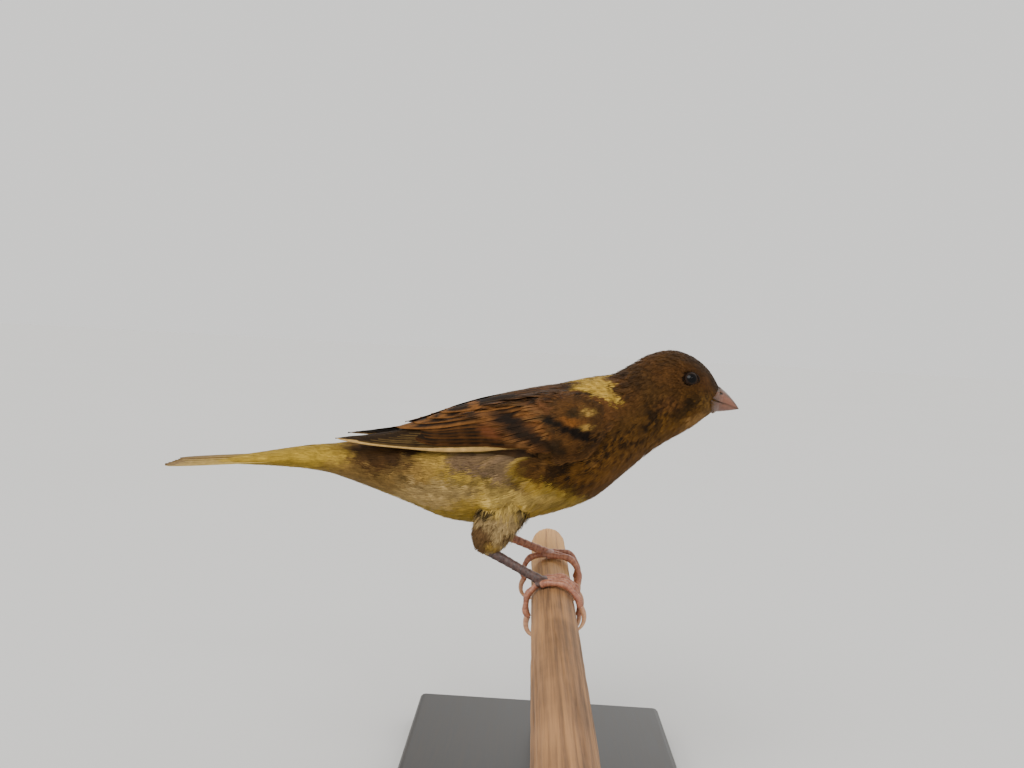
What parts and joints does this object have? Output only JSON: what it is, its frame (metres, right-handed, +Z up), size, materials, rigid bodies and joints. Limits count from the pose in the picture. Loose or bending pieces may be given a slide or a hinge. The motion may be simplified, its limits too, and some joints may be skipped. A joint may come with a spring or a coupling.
{
  "type": "canary model",
  "caption": "Life-size still model of a brown and yellow canary gripping a short length of wooden perch on a plain display stand.",
  "frame": {"origin": "on the underside of the stand's base, straight below the middle of the two feet", "axes": "+Z up; +X the way the bird faces; +Y towards the bird's left side, along the perch"},
  "size_m": [0.1377, 0.161, 0.1156],
  "materials": {
    "plumage_brown": "olive-brown and rufous-brown feathers with dark streaks, soft and matt",
    "plumage_dark": "dark brown wing feathers with pale edges, a slight sheen",
    "plumage_yellow": "dull yellow feathers with grey-brown edges, soft and matt",
    "bill_horn": "pinkish horn, smooth with a soft sheen",
    "eye_dark": "near-black glass eye, wet gloss, solid and opaque",
    "leg_scale": "pinkish-brown horny scales, low sheen",
    "claw_horn": "pale orange-horn claw, slightly translucent looking",
    "perch_wood": "weathered brown dowel with fine lengthwise grooves",
    "stand_black": "dark stained wood, satin",
    "stand_steel": "plain steel rod, satin"
  },
  "bodies": {
    "root": {"bill_lower": "bill_horn", "bill_upper": "bill_horn", "claw_left_1": "claw_horn", "claw_left_2": "claw_horn", "claw_left_3": "claw_horn", "claw_left_4": "claw_horn", "claw_right_1": "claw_horn", "claw_right_2": "claw_horn", "claw_right_3": "claw_horn", "claw_right_4": "claw_horn", "eye_left": "eye_dark", "eye_right": "eye_dark", "head": "plumage_brown", "neck": "plumage_brown", "perch": "perch_wood", "stand_base": "stand_black", "stand_rod_1": "stand_steel", "stand_rod_2": "stand_steel", "tail": "plumage_yellow", "tarsus_left": "leg_scale", "tarsus_right": "leg_scale", "thigh_left": "plumage_brown", "thigh_right": "plumage_brown", "toe_left_1": "leg_scale", "toe_left_2": "leg_scale", "toe_left_3": "leg_scale", "toe_left_4": "leg_scale", "toe_right_1": "leg_scale", "toe_right_2": "leg_scale", "toe_right_3": "leg_scale", "toe_right_4": "leg_scale", "torso": "plumage_brown", "wing_left": "plumage_dark", "wing_right": "plumage_dark"}
  },
  "joints": []
}
